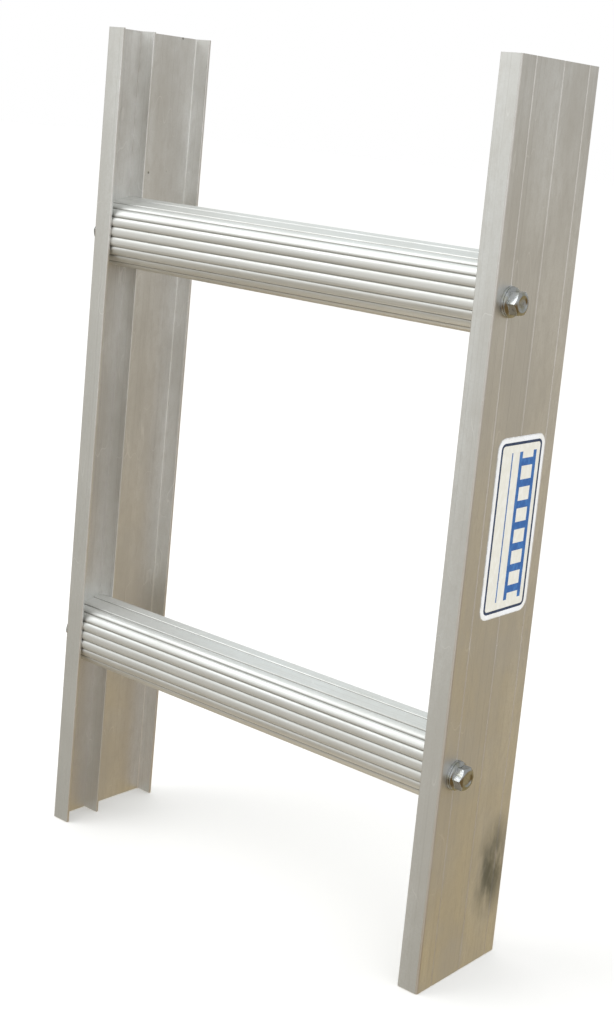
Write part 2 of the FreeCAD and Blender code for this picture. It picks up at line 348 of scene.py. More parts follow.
@dataclass(frozen=True)
class ExtrudedAluminium:
    """Aluminium 6060, hot extruded, left as it came from the mill and sawn to length.

    The eye sees a soft grey metal with faint bands and fine lines along the profile, a cloudy
    bloom of oxide, a few scuffs and small dents from the yard, and brighter sawn ends.

    Attributes:
        name: The material's name.
        draw: The direction of the extrusion.
        roughness: The roughness of the clean metal.
        paints_groove_shade: Whether the grooves get painted shade, from how deep the mesh says each point
            lies.
        clean: The clean metal.
        bloom: The metal under a thicker oxide.
        grime_and_groove_shade: The grime that gathers in die lines and dents, and painted shade in grooves.
        scraped: Fresh metal in a scuff or on a sawn end.
        smudge: Metal darkened by rubbing against something dirty.
        smudge_place: The middle of the one large smudge, in millimetres, or None without one.
        smudge_size: How far it reaches along X, Y and Z, with less than the wall's thickness along X.
    """

    name: str
    draw: DrawDirection
    roughness: float = 0.4
    paints_groove_shade: bool = False
    clean: str = "#F3F4F3"
    bloom: str = "#DEDDD9"
    grime_and_groove_shade: str = "#77746B"
    scraped: str = "#FAFAF8"
    smudge: str = "#74786F"
    smudge_place: tuple[float, float, float] | None = None
    smudge_size: tuple[float, float, float] = (1.5, 24.0, 42.0)

    def material(self) -> bpy.types.Material:
        """Builds the material.

        Returns:
            The finished material.
        """
        surface = Surface(self.name, self.clean, self.roughness)
        self._lay_oxide(surface)
        self._lay_die_lines(surface)
        self._lay_wear(surface)
        if self.smudge_place:
            self._lay_smudge(surface)
        if self.paints_groove_shade:
            # Painted shade: the bottoms of the rung's grooves and of its tread line are darkened, where shade
            # falls
            groove = add_node(surface.tree, "ShaderNodeAttribute", {"attribute_name": "groove"})
            surface.lay(groove.outputs["Fac"], (0.15, 0.95), self.grime_and_groove_shade, cover=0.72, roughness=0.12)
        self._lay_sawn_ends(surface)
        return surface.finish({"Metallic": 1.0})

    def _lay_oxide(self, surface: Surface) -> None:
        """Lays the bloom of oxide in clouds and in bands along the draw.

        Args:
            surface: The material so far.
        """
        # Clouds are 30 to 60 mm across, and longer along the draw
        clouds = surface.pattern(self.draw.sizes(34.0, 80.0), seed=11.3, detail=5.0).outputs[0]
        surface.lay(clouds, (0.35, 0.68), self.bloom, cover=0.7, roughness=0.1)
        # Bands from the flow of the metal through the die are 10 to 20 mm wide
        bands = surface.pattern(self.draw.sizes(13.0, 900.0), seed=7.7, detail=1.0).outputs[0]
        surface.lay(bands, (0.35, 0.65), self.bloom, cover=0.35, relief=0.008)
        # Mottle from handling and rain is about 4 mm across
        mottle = surface.pattern(self.draw.sizes(3.6, 9.0), seed=15.1, detail=4.0).outputs[0]
        surface.lay(mottle, (0.42, 0.72), self.bloom, cover=0.45, roughness=0.05)

    def _lay_die_lines(self, surface: Surface) -> None:
        """Lays the fine lines of the die and the grain that stretching the profile leaves.

        Args:
            surface: The material so far.
        """
        # Die lines are 0.1 to 0.3 mm apart on the real profile, and are drawn at 0.8 mm so that they show
        lines = surface.pattern(self.draw.sizes(0.8, 260.0), seed=3.1, detail=3.0).outputs[0]
        surface.lay(lines, (0.52, 0.76), self.grime_and_groove_shade, cover=0.14, roughness=0.05, relief=-0.006)
        # Orange peel from stretching the profile has a grain of about 1.6 mm
        peel = surface.pattern((1.6, 1.6, 1.6), seed=5.9).outputs[0]
        surface.lay(peel, (0.3, 0.7), self.bloom, cover=0.25, relief=0.007)

    def _lay_wear(self, surface: Surface) -> None:
        """Lays thin bright scuffs and small dark dents.

        Args:
            surface: The material so far.
        """
        patches = surface.pattern((40.0, 40.0, 40.0), seed=33.0, detail=1.0).outputs[0]
        rubbed = surface.lay(patches, (0.48, 0.58), roughness=0.03)
        # A scuff follows the middle value of a soft pattern, and is about 0.4 mm wide
        contour = surface.pattern(self.draw.sizes(16.0, 55.0), seed=21.0, detail=1.0).outputs[0]
        off_middle = add_node(surface.tree, "ShaderNodeMath", {"operation": "SUBTRACT"}, {0: contour, 1: 0.5})
        distance = add_node(
            surface.tree, "ShaderNodeMath", {"operation": "ABSOLUTE"}, {0: off_middle.outputs[0]})
        surface.lay(distance.outputs[0], (0.006, 0.0), self.scraped, cover=0.6, relief=-0.01, within=rubbed)
        # A dent is 1 to 2 mm across, and there is one in a hand's width or so
        cells = surface.pattern((24.0, 24.0, 24.0), seed=4.4, scattered=True)
        chosen = surface.lay(cells.outputs["Color"], (0.6, 0.64))
        surface.lay(
            cells.outputs["Distance"], (0.05, 0.02), self.grime_and_groove_shade, cover=0.8, relief=-0.12, within=chosen)

    def _lay_smudge(self, surface: Surface) -> None:
        """Lays the one large smudge, which breaks up into streaks towards its edge.

        Args:
            surface: The material so far.
        """
        offset = add_node(
            surface.tree, "ShaderNodeVectorMath", {"operation": "SUBTRACT"},
            {0: surface.position, 1: [place * MM for place in self.smudge_place]})
        scaled = add_node(
            surface.tree, "ShaderNodeVectorMath", {"operation": "DIVIDE"},
            {0: offset.outputs[0], 1: [reach * MM for reach in self.smudge_size]})
        distance = add_node(
            surface.tree, "ShaderNodeVectorMath", {"operation": "LENGTH"}, {0: scaled.outputs[0]})
        near = surface.lay(distance.outputs["Value"], (1.0, 0.2))
        streaks = surface.pattern(self.draw.sizes(11.0, 26.0), seed=53.0, detail=5.0).outputs[0]
        surface.lay(streaks, (0.22, 0.62), self.smudge, cover=0.85, roughness=0.05, within=near)

    def _lay_sawn_ends(self, surface: Surface) -> None:
        """Lays bright metal and the marks of the saw's teeth on the faces across the draw.

        Args:
            surface: The material so far.
        """
        face = add_node(surface.tree, "ShaderNodeNewGeometry").outputs["True Normal"]
        facing = add_node(
            surface.tree, "ShaderNodeVectorMath", {"operation": "DOT_PRODUCT"}, {0: face, 1: self.draw.value})
        squareness = add_node(
            surface.tree, "ShaderNodeMath", {"operation": "ABSOLUTE"}, {0: facing.outputs["Value"]})
        ends = surface.lay(squareness.outputs[0], (0.9, 0.97), self.scraped, cover=0.9)
        # Tooth marks are about 0.3 mm apart, and are drawn at 0.6 mm so that they show
        teeth = surface.pattern((0.6, 40.0, 40.0), seed=41.0, detail=1.0).outputs[0]
        surface.lay(teeth, (0.3, 0.7), relief=0.02, within=ends)


@dataclass(frozen=True)
class TurnedAluminium:
    """Aluminium block, sawn, drilled and tapped.

    The eye sees clean bright metal with fine rings from the tool.
    """

    name: str = "tapped_aluminium_block"
    clean: str = "#EDEDEC"
    haze: str = "#BDBBB6"

    def material(self) -> bpy.types.Material:
        """Builds the material.

        Returns:
            The finished material.
        """
        surface = Surface(self.name, self.clean, roughness=0.24)
        haze = surface.pattern((9.0, 9.0, 9.0), seed=8.0, detail=3.0).outputs[0]
        surface.lay(haze, (0.3, 0.7), self.haze, cover=0.7, roughness=0.12)
        # Tool marks are 0.2 mm apart, and are drawn at 0.5 mm so that they show
        marks = surface.pattern((0.5, 12.0, 12.0), seed=2.0).outputs[0]
        surface.lay(marks, (0.3, 0.7), relief=0.015)
        return surface.finish({"Metallic": 1.0})


@dataclass(frozen=True)
class ZincPlatedSteel:
    """Cold-forged steel with a bright zinc plating and a clear passivation.

    The eye sees a mirror-like grey metal that shows its surroundings in hard contrast, with a
    faint olive tint in patches and a fine grain from the plating bath.
    """

    name: str = "bright_zinc_plated_steel"
    bright: str = "#B4B7B9"
    olive: str = "#9C9A80"
    dull: str = "#77797C"

    def material(self) -> bpy.types.Material:
        """Builds the material.

        Returns:
            The finished material.
        """
        surface = Surface(self.name, self.bright, roughness=0.11)
        tint = surface.pattern((5.0, 5.0, 5.0), seed=6.0, detail=3.0).outputs[0]
        surface.lay(tint, (0.42, 0.7), self.olive, cover=0.6, relief=0.02)
        wear = surface.pattern((2.2, 2.2, 2.2), seed=14.0, detail=4.0).outputs[0]
        surface.lay(wear, (0.5, 0.75), self.dull, cover=0.6, roughness=0.14)
        # The crystals of the plating are far under 0.1 mm, and are drawn at 0.35 mm so that they show
        crystals = surface.pattern((0.35, 0.35, 0.35), seed=9.0).outputs[0]
        surface.lay(crystals, (0.3, 0.7), roughness=0.04, relief=0.0025)
        return surface.finish({"Metallic": 1.0})


@dataclass(frozen=True)
class PolypropyleneFilm:
    """White polypropylene label film, cast and calendered, with a gloss face.

    The eye sees a clean white with a slightly uneven sheen, a trace of cream where it has aged,
    and grey dust along its cut edge.
    """

    name: str = "white_polypropylene_film"
    white: str = "#F4F6FA"
    cream: str = "#E9E6DA"
    dust: str = "#B7B6B2"
    ior: float = 1.5

    def material(self) -> bpy.types.Material:
        """Builds the material.

        Returns:
            The finished material.
        """
        surface = Surface(self.name, self.white, roughness=0.26)
        ageing = surface.pattern((18.0, 18.0, 26.0), seed=12.0, detail=3.0).outputs[0]
        surface.lay(ageing, (0.4, 0.65), self.cream, cover=0.5, roughness=0.12)
        specks = surface.pattern((2.5, 2.5, 4.0), seed=19.0, detail=3.0).outputs[0]
        dusty = surface.lay(specks, (0.25, 0.6))
        rim = add_node(surface.tree, "ShaderNodeAttribute", {"attribute_name": "rim"}).outputs["Fac"]
        surface.lay(rim, (0.0, 1.0), self.dust, cover=0.7, within=dusty)
        # The film's own ripple as it was laid on is about 6 mm long
        ripple = surface.pattern((6.0, 6.0, 9.0), seed=17.0).outputs[0]
        surface.lay(ripple, (0.3, 0.7), relief=0.012)
        return surface.finish({"IOR": self.ior})


@dataclass(frozen=True)
class ScreenInk:
    """Screen-printed ink on label film, cured under a lamp.

    The eye sees one solid colour, a little weaker in places, with a soft gloss.
    """

    name: str
    full: str
    thin: str
    ior: float = 1.5

    def material(self) -> bpy.types.Material:
        """Builds the material.

        Returns:
            The finished material.
        """
        surface = Surface(self.name, self.full, roughness=0.32)
        weak = surface.pattern((3.0, 3.0, 5.0), seed=23.0, detail=4.0).outputs[0]
        surface.lay(weak, (0.4, 0.7), self.thin, cover=0.8, roughness=0.1)
        # The screen's threads are 0.1 mm apart, and are drawn at 0.4 mm so that they show
        threads = surface.pattern((0.4, 0.4, 0.4), seed=29.0, detail=1.0).outputs[0]
        surface.lay(threads, (0.3, 0.7), relief=0.003)
        return surface.finish({"IOR": self.ior})


@dataclass(frozen=True)
class PaintedBoard:
    """The studio's floor: board rolled with a matt white paint.

    The eye sees an even white that darkens only where the section shades it.
    """

    name: str = "matt_white_painted_board"
    white: str = "#F7F7F6"
    shade: str = "#F1F1EF"
    glow: float = 0.0

    def material(self) -> bpy.types.Material:
        """Builds the material.

        Returns:
            The finished material.
        """
        surface = Surface(self.name, self.white, roughness=0.75)
        clouds = surface.pattern((400.0, 400.0, 400.0), seed=1.0).outputs[0]
        surface.lay(clouds, (0.0, 1.0), self.shade, roughness=0.1)
        # The roller leaves a stipple of about 2 mm
        stipple = surface.pattern((2.0, 2.0, 2.0), seed=2.0, detail=1.0).outputs[0]
        surface.lay(stipple, (0.0, 1.0), relief=0.02)
        return surface.finish({"Emission Color": linear(self.white), "Emission Strength": self.glow})


@dataclass(frozen=True)
class Finishes:
    """Every finish on the section, made once and shared by its pieces."""

    rail: bpy.types.Material
    rung: bpy.types.Material
    insert: bpy.types.Material
    zinc: bpy.types.Material
    film: bpy.types.Material
    panel_ink: bpy.types.Material
    border_ink: bpy.types.Material
    picture_ink: bpy.types.Material

    @classmethod
    def prepared(cls) -> "Finishes":
        """Builds all the materials.

        Returns:
            The materials together.
        """
        return cls(
            rail=ExtrudedAluminium(
                "mill_finish_aluminium_rail", DrawDirection.ALONG_Z, smudge_place=(162.0, 27.0, 60.0),
            ).material(),
            rung=ExtrudedAluminium(
                "mill_finish_aluminium_rung", DrawDirection.ALONG_X, roughness=0.47, paints_groove_shade=True,
                bloom="#ECECE9",
            ).material(),
            insert=TurnedAluminium().material(),
            zinc=ZincPlatedSteel().material(),
            film=PolypropyleneFilm().material(),
            panel_ink=ScreenInk("cream_screen_ink", "#E7E5DA", "#EFEEE7").material(),
            border_ink=ScreenInk("navy_screen_ink", "#1E3557", "#2F476B").material(),
            picture_ink=ScreenInk("blue_screen_ink", "#1F5FA6", "#3C7CC0").material(),
        )


# ---------------------------------------------------------------- the section's pieces


class Part(Protocol):
    """A part of the section that builds and dresses its own pieces."""

    def build(self, finishes: Finishes) -> list[bpy.types.Object]:
        """Builds the pieces and returns them."""


def dress_node(name: str, material: bpy.types.Material) -> bpy.types.Object:
    """Puts one material on a node that stays as the frame gives it.

    Args:
        name: The node's name.
        material: The material.

    Returns:
        The node's object.
    """
    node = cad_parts[name]
    if not node.material_slots:
        node.data.materials.append(material)
    for slot in node.material_slots:
        slot.material = material
    return node


@dataclass
class Rails:
    """The two E-shaped rails, kept as the frame gives them."""

    sides: tuple[Side, ...] = (Side.LEFT, Side.RIGHT)

    def build(self, finishes: Finishes) -> list[bpy.types.Object]:
        """Gives both rails their finish.

        Args:
            finishes: The materials.

        Returns:
            The rails.
        """
        return [dress_node(f"{side.word}_rail", finishes.rail) for side in self.sides]


@dataclass(frozen=True)
class Stretch:
    """One straight or evenly curved stretch of an outline.

    Attributes:
        length: Its length in millimetres.
        turn: How far the outline turns along it, in radians, and 0 where it is straight.
        corner: How far the outline turns at once where it ends, in radians.
    """

    length: float
    turn: float = 0.0
    corner: float = 0.0


@dataclass(frozen=True)
class RungOutline:
    """The rung's plain outline, seen from its end, or the same outline some way further in.

    The outline starts at the back of the tread and goes over the nose, down the front, round the
    belly, along the underside and up the back. Y is measured from the rail's front and Z from the
    bolt's axis, in millimetres.

    Attributes:
        inset: How far inside the plain outline this one lies.
        front: Where the plain outline's front lies.
        back: Where its back lies.
        tread_back_height: The height of the tread's back edge.
        tread_slope_deg: How steeply the tread rises towards the back.
        underside: The height of the underside.
        nose_radius: The radius from the tread to the front.
        belly_radius: The radius from the front to the underside.
    """

    inset: float = 0.0
    front: float = 2.0
    back: float = 27.5
    tread_back_height: float = 25.5
    tread_slope_deg: float = 15.0
    underside: float = -21.5
    nose_radius: float = 13.0
    belly_radius: float = 18.0

    @property
    def slope(self) -> float:
        """Returns the tread's slope in radians."""
        return math.radians(self.tread_slope_deg)

    @property
    def start(self) -> Vector:
        """Returns the back end of the tread as (y, z)."""
        drop = self.inset / math.cos(self.slope) + self.inset * math.tan(self.slope)
        return Vector((self.back - self.inset, self.tread_back_height - drop))

    def stretches(self) -> list[Stretch]:
        """Works out the outline's six stretches.

        Returns:
            The stretches in order.
        """
        front = self.front + self.inset
        bottom = self.underside + self.inset
        depth = self.start.x - front
        nose_height = self.start.y - depth * math.tan(self.slope)
        nose_turn = math.pi / 2 - self.slope
        nose = self.nose_radius - self.inset
        belly = self.belly_radius - self.inset
        nose_reach = nose * math.tan(nose_turn / 2)
        return [
            Stretch(depth / math.cos(self.slope) - nose_reach),
            Stretch(nose * nose_turn, nose_turn),
            Stretch(nose_height - bottom - nose_reach - belly),
            Stretch(belly * math.pi / 2, math.pi / 2),
            Stretch(depth - belly, corner=math.pi / 2),
            Stretch(self.start.y - bottom),
        ]

    def place(self, progress: float) -> tuple[Vector, Vector]:
        """Finds a point on the outline.

        Args:
            progress: The number of whole stretches passed, and the share of the next one.

        Returns:
            The point and the outward direction there, both as (y, z).
        """
        point = self.start
        heading = math.pi + self.slope
        for index, stretch in enumerate(self.stretches()):
            point, heading = self._walk(point, heading, stretch, min(progress - index, 1.0))
            if progress < index + 1:
                break
            heading += stretch.corner
        return point, Vector((math.sin(heading), -math.cos(heading)))

    @staticmethod
    def _walk(point: Vector, heading: float, stretch: Stretch, share: float) -> tuple[Vector, float]:
        """Walks along part of a stretch.

        Args:
            point: Where it starts, as (y, z).
            heading: The direction there, in radians from Y towards Z.
            stretch: The stretch.
            share: The part of it to walk, from 0 to 1.

        Returns:
            The new point and the new heading.
        """
        length = stretch.length * share
        if stretch.turn == 0.0:
            return point + Vector((math.cos(heading), math.sin(heading))) * length, heading
        radius = stretch.length / stretch.turn
        after = heading + stretch.turn * share
        step = Vector((math.sin(after) - math.sin(heading), math.cos(heading) - math.cos(after)))
        return point + step * radius, after


@dataclass
class ReededRung:
    """One hollow rung with a sloping tread and reeds over its nose, front and belly.

    Attributes:
        level: Which rung it is.
        wall: The thickness of its wall.
        reed_pitch: The distance from one groove to the next, along the outline.
        reed_count: The number of reeds.
        reed_sink: The depth of the grooves.
        shoulder: The width of the slope at each end of the reeded field.
        tread_line_offset: The distance of the tread's one line from its back edge.
        tread_line_width: The width of that line.
        tread_line_sink: Its depth.
        crest_flatness: The power of the reeds' curve, where 2 is round and more is flatter on top.
        groove_shade_reach: How far the painted shade reaches up from the bottom of a groove, along the
            outline.
        behind_line: Where the tread has points behind its line, as distances from its back edge.
        line_shares: Where the line has points, as shares of half its width.
        before_reeds: Where the tread has points in front of its line, as distances from its back edge.
        reed_shares: Where each reed has points, as shares of the pitch.
        shoulder_support: How far outside a shoulder there is one more point.
        back_shares: Where the back has points, as shares of its height.
        stations: The number of stretches between cross-sections along the rung.
    """

    level: Level
    wall: float = 2.6
    reed_pitch: float = 6.6
    reed_count: int = 9
    reed_sink: float = 0.9
    shoulder: float = 0.7
    tread_line_offset: float = 6.0
    tread_line_width: float = 1.4
    tread_line_sink: float = 0.6
    crest_flatness: float = 3.4
    groove_shade_reach: float = 0.6
    behind_line: tuple[float, ...] = (0.0, 2.0, 4.0)
    line_shares: tuple[float, ...] = (-1.0, -0.5, 0.0, 0.5, 1.0)
    before_reeds: tuple[float, ...] = (8.5, 11.0, 13.5)
    reed_shares: tuple[float, ...] = (
        0.0, 0.02, 0.05, 0.1, 0.18, 0.28, 0.39, 0.5, 0.61, 0.72, 0.82, 0.9, 0.95, 0.98,
    )
    shoulder_support: float = 0.4
    back_shares: tuple[float, ...] = (0.0, 0.25, 0.5, 0.75)
    stations: int = 24

    def build(self, finishes: Finishes) -> list[bpy.types.Object]:
        """Builds the rung in the place of its node.

        Args:
            finishes: The materials.

        Returns:
            The rung, alone in a list.
        """
        node = f"{self.level.value}_rung"
        low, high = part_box(node)
        outline = RungOutline()
        hollow = RungOutline(inset=self.wall)
        samples = self._samples(outline)
        shift = Vector((self._front_y(low, outline), self._axis_z(low, outline)))
        outer = []
        inner = []
        depths = []
        for progress, sink, groove in samples:
            point, outward = outline.place(progress)
            outer.append(point - outward * sink + shift)
            inner.append(hollow.place(progress)[0] + shift)
            depths.append(groove)
        left, right = low.x / MM, high.x / MM
        steps = [left + (right - left) * step / self.stations for step in range(self.stations + 1)]
        rings = [[Vector((x, *point)) for point in outer] for x in steps]
        rings += [[Vector((x, *point)) for point in inner] for x in reversed(steps)]
        piece = make_piece(f"{node}_reeded_tube", *loft(rings, closed=True))
        # How near each point lies to a groove's bottom, which the rung's finish uses to paint shade into the
        # grooves
        mark_points(piece, "groove", depths * len(steps) + [0.0] * (len(depths) * len(steps)))
        piece.data.materials.append(finishes.rung)
        soften_edges(piece, width=0.3, angle_deg=60.0)
        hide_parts(node)
        return [piece]

    @staticmethod
    def _front_y(low: Vector, outline: RungOutline) -> float:
        """Returns the rail's front, from where the rung's node begins."""
        return low.y / MM - outline.front

    @staticmethod
    def _axis_z(low: Vector, outline: RungOutline) -> float:
        """Returns the height of the bolt's axis, from where the rung's node begins."""
        return low.z / MM - outline.underside

    def _samples(self, outline: RungOutline) -> list[tuple[float, float, float]]:
        """Spreads points over the outline, closer together where it bends sharply.

        Args:
            outline: The rung's plain outline.

        Returns:
            For each point its progress, how far it is sunk, and how much it counts as a groove.
        """
        stretches = outline.stretches()
        first = stretches[0].length
        last = first + self.reed_count * self.reed_pitch
        half_line = self.tread_line_width / 2
        support = self.shoulder_support
        distances = list(self.behind_line)
        distances += [self.tread_line_offset + half_line * share for share in self.line_shares]
        distances += [*self.before_reeds, first - self.shoulder - support, first - self.shoulder]
        for reed in range(self.reed_count):
            distances += [first + (reed + share) * self.reed_pitch for share in self.reed_shares]
        distances += [last, last + self.shoulder, last + self.shoulder + support]
        samples = []
        for distance in distances:
            samples.append((self._progress(stretches, distance), *self._relief(distance, first, last)))
        back = len(stretches) - 1
        samples += [(back + share, 0.0, 0.0) for share in self.back_shares]
        return samples

    @staticmethod
    def _progress(stretches: Sequence[Stretch], distance: float) -> float:
        """Turns a distance along the outline into progress.

        Args:
            stretches: The outline's stretches.
            distance: The distance from the back of the tread.

        Returns:
            The number of whole stretches passed, and the share of the next one.
        """
        for index, stretch in enumerate(stretches):
            if distance < stretch.length:
                return index + distance / stretch.length
            distance -= stretch.length
        return float(len(stretches))

    def _relief(self, distance: float, first: float, last: float) -> tuple[float, float]:
        """Works out the reeding at one distance along the outline.

        Args:
            distance: The distance from the back of the tread.
            first: Where the reeds begin.
            last: Where they end.

        Returns:
            How far the surface is sunk, and how much the point counts as a groove.
        """
        if first <= distance <= last:
            share = (distance - first) / self.reed_pitch
            off_crest = abs(share - math.floor(share) - 0.5) * self.reed_pitch
            half = self.reed_pitch / 2
            sink = self.reed_sink * (off_crest / half) ** self.crest_flatness
            return sink, math.exp((off_crest - half) / self.groove_shade_reach)
        to_line = abs(distance - self.tread_line_offset) / (self.tread_line_width / 2)
        if to_line < 1:
            return self.tread_line_sink * 0.5 * (1 + math.cos(math.pi * to_line)), 1 - to_line
        return 0.0, 0.0


@dataclass
class BoltAxis:
    """The axis of one bolted joint, and how to place points round it.

    Attributes:
        side: The rail that the bolt goes through.
        level: The rung that it holds.
    """

    side: Side
    level: Level

    def __post_init__(self) -> None:
        """Finds the axis in the middle of the bolt's node."""
        low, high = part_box(f"{self.place}_bolt")
        self.centre = (low + high) / 2 / MM

    @property
    def place(self) -> str:
        """Returns the start of the names of the joint's nodes."""
        return f"{self.level.value}_{self.side.word}"

    def point(self, seat: float, along: float, radius: float, angle: float) -> Vector:
        """Places a point round the axis.

        Args:
            seat: Where the piece begins, as a distance from the middle of the section.
            along: The distance outwards from there.
            radius: The distance from the axis.
            angle: The angle round the axis, up from the back on the right side and up from the front
                on the left, so that a thread winds the same way on both.

        Returns:
            The point in millimetres.
        """
        out = self.side.value
        return Vector((
            out * (seat + along),
            self.centre.y + out * radius * math.cos(angle),
            self.centre.z + radius * math.sin(angle),
        ))

    def reach(self, node: str) -> tuple[float, float]:
        """Finds how far from the middle of the section a node of the joint begins and ends.

        Args:
            node: The node's name.

        Returns:
            Where it begins and where it ends, in millimetres.
        """
        low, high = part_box(node)
        ends = sorted((abs(low.x) / MM, abs(high.x) / MM))
        return ends[0], ends[1]


@dataclass
class FlangeBolt:
    """One M8 flange bolt: a dished and chamfered hexagon on a sloping flange, and a rolled thread.

    Attributes:
        axis: The joint that it holds.
        turn_deg: How far its head stopped from having a corner towards the front.
        length: The distance from the flange's underside to the tip.
        flats: The width of the hexagon across its flats.
        land_radius: Where the head's flat end face gives way to the chamfer.
        chamfer_deg: How steeply the chamfer falls.
        dish_radius: The radius of the dish in the end face.
        dish_depth: The depth of the dish.
        dish_curve: The dish's points, by how far they lie above its floor and inside its radius.
        dish_lip: The points of its soft lip, by how far they lie below the face and outside its radius.
        flange_radius: The radius of the flange.
        flange_edge: The height at which the flange's slope meets its rim.
        flange_slope_deg: How steeply the flange rises to the hexagon.
        slope_support: How far inside the rim the slope has a ring of points.
        rim_round: The size of the rim's rounding.
        rim_bulge: How far in the middle of the rounding lies, as a share of its size.
        rim_drop: How far down the middle of the upper rounding lies, as a share of its size.
        diameter: The thread's outer diameter.
        fillet: The size of the fillet under the head.
        fillet_bulge: How far the fillet's middle lies from the shank and from the underside.
        thread_depth: The depth of the thread.
        thread_pitch: The distance from one crest to the next.
        tip_share: The share of its depth that the thread keeps at the tip.
        plain_shank: The length of the shank without a thread.
        tip_chamfer: The size of the chamfer at the tip.
        around: The number of points in a ring.
        rings_per_turn: The number of rings in one turn of the thread.
    """

    axis: BoltAxis
    turn_deg: float = 0.0
    length: float = 30.0
    flats: float = 13.0
    land_radius: float = 5.5
    chamfer_deg: float = 30.0
    dish_radius: float = 4.3
    dish_depth: float = 0.6
    dish_curve: tuple[tuple[float, float], ...] = ((0.0, 2.2), (0.03, 1.3), (0.14, 0.75), (0.34, 0.35))
    dish_lip: tuple[tuple[float, float], ...] = ((0.1, -0.08), (0.0, 0.12))
    flange_radius: float = 8.75
    flange_edge: float = 1.1
    flange_slope_deg: float = 25.0
    slope_support: float = 1.0
    rim_round: float = 0.3
    rim_bulge: float = 0.25
    rim_drop: float = 0.1
    diameter: float = 8.0
    fillet: float = 0.35
    fillet_bulge: float = 0.1
    thread_depth: float = 0.61
    thread_pitch: float = 1.25
    tip_share: float = 0.3
    plain_shank: float = 5.0
    tip_chamfer: float = 0.9
    around: int = 60
    rings_per_turn: int = 8

    def build(self, finishes: Finishes) -> list[bpy.types.Object]:
        """Builds the bolt in the place of its node.

        Args:
            finishes: The materials.

        Returns:
            The bolt, alone in a list.
        """
        node = f"{self.axis.place}_bolt"
        tip, top = self.axis.reach(node)
        seat = tip + self.length
        head_height = top - seat
        rings = self._rounds(seat, self._crown_profile(head_height))
        rings += self._hexagon(seat, head_height)
        rings += self._rounds(seat, self._flange_profile())
        rings += self._thread(seat)
        rings += self._rounds(seat, [(-self.length, self.diameter / 2 - self.tip_chamfer)])
        piece = make_piece(f"{self.axis.place}_flange_bolt", *loft(rings))
        piece.data.materials.append(finishes.zinc)
        soften_edges(piece, width=0.16, angle_deg=38.0)
        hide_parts(node)
        return [piece]

    def _angles(self) -> list[float]:
        """Returns the angles of the points in a ring."""
        turn = math.radians(self.turn_deg)
        return [turn + 2 * math.pi * step / self.around for step in range(self.around)]

    def _rounds(self, seat: float, profile: Sequence[tuple[float, float]]) -> list[Ring]:
        """Turns a profile into round rings of points.

        Args:
            seat: Where the flange's underside lies.
            profile: The height over the seat and the radius of each ring.

        Returns:
            The rings in the profile's order.
        """
        return [
            [self.axis.point(seat, along, radius, angle) for angle in self._angles()]
            for along, radius in profile
        ]

    def _crown_profile(self, top: float) -> list[tuple[float, float]]:
        """Works out the round part of the head's end face, from the dish to the land.

        Args:
            top: The height of the head over the seat.

        Returns:
            The heights and radii.
        """
        floor = top - self.dish_depth
        profile = [(floor + rise, self.dish_radius - inside) for rise, inside in self.dish_curve]
        profile += [(top - drop, self.dish_radius + outside) for drop, outside in self.dish_lip]
        return [*profile, (top, self.land_radius)]

    def _hexagon(self, seat: float, top: float) -> list[Ring]:
        """Makes the chamfer and the six sides down to the flange.

        Args:
            seat: Where the flange's underside lies.
            top: The height of the head over the seat.

        Returns:
            The rings half way down the chamfer, at its edge and at the foot of the sides.
        """
        chamfer = math.tan(math.radians(self.chamfer_deg))
        skirt = math.tan(math.radians(self.flange_slope_deg))
        turn = math.radians(self.turn_deg)
        middle, edge, foot = [], [], []
        for angle in self._angles():
            folded = (angle - turn) % (math.pi / 3) - math.pi / 6
            radius = self.flats / 2 / math.cos(folded)
            half_way = (radius + self.land_radius) / 2
            for ring, out in ((middle, half_way), (edge, radius)):
                ring.append(self.axis.point(seat, top - (out - self.land_radius) * chamfer, out, angle))
            foot_height = self.flange_edge + (self.flange_radius - radius) * skirt
            foot.append(self.axis.point(seat, foot_height, radius, angle))
        return [middle, edge, foot]

    def _flange_profile(self) -> list[tuple[float, float]]:
        """Works out the flange's slope, its rolled rim and underside, and the plain shank.

        Returns:
            The heights and radii.
        """
        rim = self.flange_radius
        soft = self.rim_round
        bulge = self.rim_bulge * soft
        slope = math.tan(math.radians(self.flange_slope_deg))
        shank = self.diameter / 2
        return [
            (self.flange_edge + self.slope_support * slope, rim - self.slope_support),
            (self.flange_edge + soft * slope, rim - soft),
            (self.flange_edge - self.rim_drop * soft, rim - bulge),
            (self.flange_edge - soft, rim),
            (soft, rim),
            (bulge, rim - bulge),
            (0.0, rim - soft),
            (0.0, shank + self.fillet),
            (-self.fillet_bulge, shank + self.fillet_bulge),
            (-self.fillet, shank),
            (-self.plain_shank, shank),
        ]

    def _thread(self, seat: float) -> list[Ring]:
        """Makes the thread, whose crest winds round as its rings follow each other.

        Args:
            seat: Where the flange's underside lies.

        Returns:
            The rings from the plain shank to the tip's chamfer.
        """
        step = self.thread_pitch / self.rings_per_turn
        start = self.plain_shank + step
        count = int((self.length - self.tip_chamfer - start) / step)
        rings = []
        for index in range(count):
            depth = start + index * step
            to_tip = (count - 1 - index) / self.rings_per_turn + self.tip_share
            run_out = min(1.0, index / self.rings_per_turn, to_tip)
            ring = []
            for angle in self._angles():
                phase = (depth / self.thread_pitch + angle / (2 * math.pi)) % 1.0
                fall = self.thread_depth * run_out * (1 - abs(2 * phase - 1))
                ring.append(self.axis.point(seat, -depth, self.diameter / 2 - fall, angle))
            rings.append(ring)
        return rings


